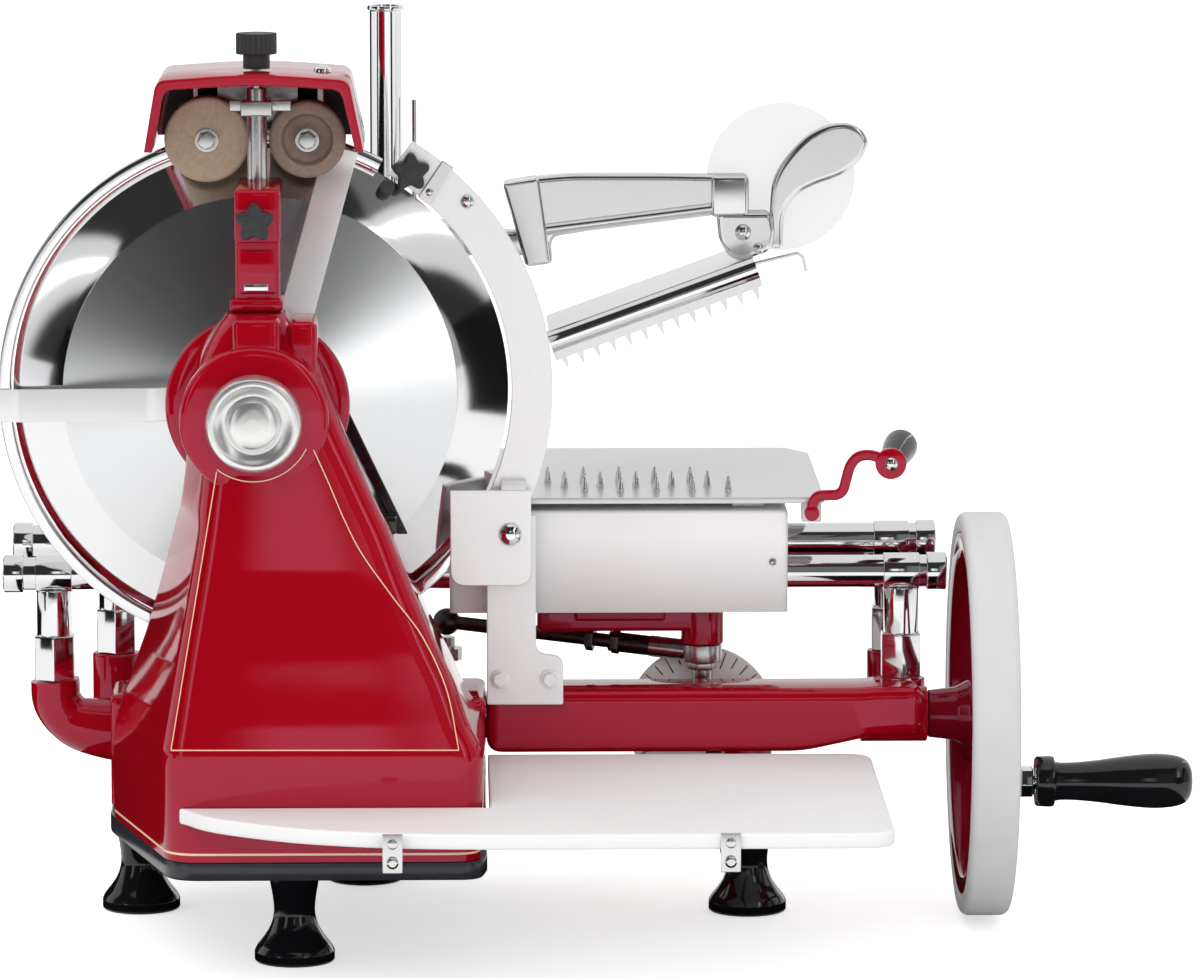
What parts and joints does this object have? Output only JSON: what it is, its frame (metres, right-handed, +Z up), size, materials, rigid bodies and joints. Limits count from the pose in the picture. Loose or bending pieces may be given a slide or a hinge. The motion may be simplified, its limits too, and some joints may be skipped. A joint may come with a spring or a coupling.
{
  "type": "hand crank meat slicer",
  "caption": "Hand crank meat slicer: a flywheel turns a round blade and drives a sliding carriage with a feed table, product press, sharpener and tray.",
  "frame": {"origin": "middle of the underside of the machine's bounding box, on the surface that its feet stand on", "axes": "+X from the blade to the flywheel, along the carriage's rods; +Y away from the operator's side, along the blade's axis; +Z up"},
  "size_m": [0.7208, 0.4962, 0.554],
  "materials": {
    "red_enamel": "deep cherry red gloss enamel",
    "black_gloss": "gloss black",
    "chrome": "mirror chrome",
    "machined_steel": "machined steel",
    "satin_steel": "pale satin steel",
    "white_enamel": "white enamel",
    "grit": "brown bonded grit",
    "grey_plastic": "matte dark grey plastic",
    "clear_plastic": "pale translucent plastic"
  },
  "bodies": {
    "frame": {"base_casting": "red_enamel", "base_plinth": "black_gloss", "foot_front": "black_gloss", "foot_left": "black_gloss", "foot_right": "black_gloss", "foot_rear": "black_gloss", "post_front_left": "chrome", "post_front_right": "chrome", "post_rear_left": "chrome", "post_rear_right": "chrome", "slide_rod_front": "chrome", "slide_rod_rear": "chrome", "front_beam": "red_enamel", "hub_flange": "red_enamel", "hub_cap": "chrome", "ring_guard": "chrome", "guard_strap": "satin_steel", "ring_brace": "satin_steel", "slice_deflector": "black_gloss", "upper_arm": "red_enamel", "tray_clip_left": "chrome", "tray_clip_right": "chrome"},
    "flywheel_set": {"drive_shaft": "machined_steel", "flywheel": "red_enamel", "flywheel_tyre": "white_enamel", "handle_pin": "chrome"},
    "handle": {"handle_grip": "black_gloss"},
    "cross_shaft_set": {"cross_shaft": "machined_steel"},
    "lower_idler": {"idler_gear_lower": "machined_steel"},
    "upper_idler": {"idler_gear_upper": "machined_steel"},
    "blade_set": {"blade": "chrome", "blade_shaft": "machined_steel"},
    "countershaft_set": {"countershaft": "machined_steel"},
    "crank_set": {"crank_shaft": "machined_steel"},
    "carriage": {"carriage_box": "satin_steel", "carriage_casting": "red_enamel", "link_pin": "machined_steel"},
    "rod": {"connecting_rod": "machined_steel"},
    "table": {"product_table": "satin_steel", "press_post": "chrome"},
    "lever": {"release_lever": "red_enamel"},
    "lever_handle": {"lever_grip": "grey_plastic"},
    "press_slider": {"press_carrier": "chrome"},
    "press": {"press_arm": "chrome", "press_plate": "satin_steel", "press_comb": "machined_steel", "press_handle": "chrome", "hand_guard": "clear_plastic"},
    "gauge": {"gauge_plate": "satin_steel", "gauge_bracket": "satin_steel", "gauge_nut": "chrome"},
    "gauge_lock": {"gauge_star_knob": "grey_plastic"},
    "dial": {"thickness_dial": "white_enamel"},
    "sharpener": {"sharpener_body": "machined_steel", "sharpener_cover": "red_enamel"},
    "sharpener_top": {"sharpener_knob": "grey_plastic"},
    "honing_stone": {"stone_left": "grit"},
    "truing_stone": {"stone_right": "grit"},
    "arm_lock": {"arm_star_knob": "grey_plastic"},
    "tray": {"tray_board": "white_enamel"}
  },
  "joints": [
    {"name": "flywheel_spin", "type": "hinge", "parent": "frame", "child": "flywheel_set", "pos_m": [0.23965, 0.04005, 0.127], "axis": [1, 0, 0], "continuous": true},
    {"name": "handle_spin", "type": "hinge", "parent": "flywheel_set", "child": "handle", "pos_m": [0.29965, -0.05795, 0.10257], "axis": [1, 0, 0], "continuous": true},
    {"name": "cross_shaft_spin", "type": "hinge", "parent": "frame", "child": "cross_shaft_set", "pos_m": [-0.17585, -0.04195, 0.127], "axis": [0, 1, 0], "continuous": true},
    {"name": "lower_idler_spin", "type": "hinge", "parent": "frame", "child": "lower_idler", "pos_m": [-0.18525, -0.10695, 0.20564], "axis": [0, 1, 0], "continuous": true},
    {"name": "upper_idler_spin", "type": "hinge", "parent": "frame", "child": "upper_idler", "pos_m": [-0.18157, -0.10695, 0.27755], "axis": [0, 1, 0], "continuous": true},
    {"name": "blade_spin", "type": "hinge", "parent": "frame", "child": "blade_set", "pos_m": [-0.20035, 0.01105, 0.332], "axis": [0, 1, 0], "continuous": true},
    {"name": "countershaft_spin", "type": "hinge", "parent": "frame", "child": "countershaft_set", "pos_m": [-0.14035, 0.04005, 0.1], "axis": [0, 0, 1], "continuous": true},
    {"name": "crank_spin", "type": "hinge", "parent": "frame", "child": "crank_set", "pos_m": [-0.17585, 0.11805, 0.12], "axis": [0, 0, 1], "continuous": true},
    {"name": "carriage_slide", "type": "slide", "parent": "frame", "child": "carriage", "axis": [1, 0, 0], "range_m": [-0.175, 0]},
    {"name": "connecting_rod_swing", "type": "hinge", "parent": "carriage", "child": "rod", "pos_m": [0.06995, 0.07805, 0.15945], "axis": [0, 0, 1], "range_deg": [-30, 36]},
    {"name": "table_feed", "type": "slide", "parent": "carriage", "child": "table", "axis": [0, 1, 0], "range_m": [0, 0.1]},
    {"name": "release_lever_lift", "type": "hinge", "parent": "table", "child": "lever", "pos_m": [0.13465, 0.02105, 0.2545], "axis": [0, 1, 0], "range_deg": [-15, 0]},
    {"name": "lever_grip_spin", "type": "hinge", "parent": "lever", "child": "lever_handle", "pos_m": [0.18265, 0.02105, 0.285], "axis": [0.2405, 0.9518, 0.1904], "continuous": true},
    {"name": "press_height", "type": "slide", "parent": "table", "child": "press_slider", "axis": [0, 0, 1], "range_m": [-0.035, 0.1]},
    {"name": "press_tilt", "type": "hinge", "parent": "press_slider", "child": "press", "pos_m": [-0.08835, 0.12305, 0.41], "axis": [0, 1, 0], "range_deg": [-8, 8]},
    {"name": "dial_turn", "type": "hinge", "parent": "frame", "child": "dial", "pos_m": [0.07025, 0.10455, 0.1123], "axis": [0, 1, 0], "range_deg": [0, 300]},
    {"name": "gauge_slide", "type": "slide", "parent": "frame", "child": "gauge", "axis": [0, 1, 0], "range_m": [-0.003, 0]},
    {"name": "gauge_knob_turn", "type": "hinge", "parent": "gauge", "child": "gauge_lock", "pos_m": [-0.10895, 0.01005, 0.4647], "axis": [0, 1, 0], "continuous": true},
    {"name": "sharpener_lift", "type": "slide", "parent": "frame", "child": "sharpener", "axis": [0, 0, 1], "range_m": [0, 0.03]},
    {"name": "sharpener_knob_turn", "type": "hinge", "parent": "sharpener", "child": "sharpener_top", "pos_m": [-0.20035, -0.02995, 0.54], "axis": [0, 0, 1], "continuous": true},
    {"name": "honing_stone_spin", "type": "hinge", "parent": "sharpener", "child": "honing_stone", "pos_m": [-0.23075, -0.00845, 0.487], "axis": [0, 1, 0], "continuous": true},
    {"name": "truing_stone_spin", "type": "hinge", "parent": "sharpener", "child": "truing_stone", "pos_m": [-0.17065, -0.00845, 0.487], "axis": [0, 1, 0], "continuous": true},
    {"name": "arm_knob_turn", "type": "hinge", "parent": "frame", "child": "arm_lock", "pos_m": [-0.20035, -0.09995, 0.4455], "axis": [0, 1, 0], "continuous": true},
    {"name": "tray_lift", "type": "slide", "parent": "frame", "child": "tray", "axis": [0, 0, 1], "range_m": [0, 0.025]}
  ],
  "couplings": [
    {"joint": "cross_shaft_spin", "follows": "flywheel_spin", "ratio": 1},
    {"joint": "lower_idler_spin", "follows": "flywheel_spin", "ratio": -1.2},
    {"joint": "upper_idler_spin", "follows": "flywheel_spin", "ratio": 1.2},
    {"joint": "blade_spin", "follows": "flywheel_spin", "ratio": -2},
    {"joint": "countershaft_spin", "follows": "flywheel_spin", "ratio": 1},
    {"joint": "crank_spin", "follows": "flywheel_spin", "ratio": -1},
    {"joint": "gauge_slide", "follows": "dial_turn", "m_per_rad": -0.00057}
  ]
}
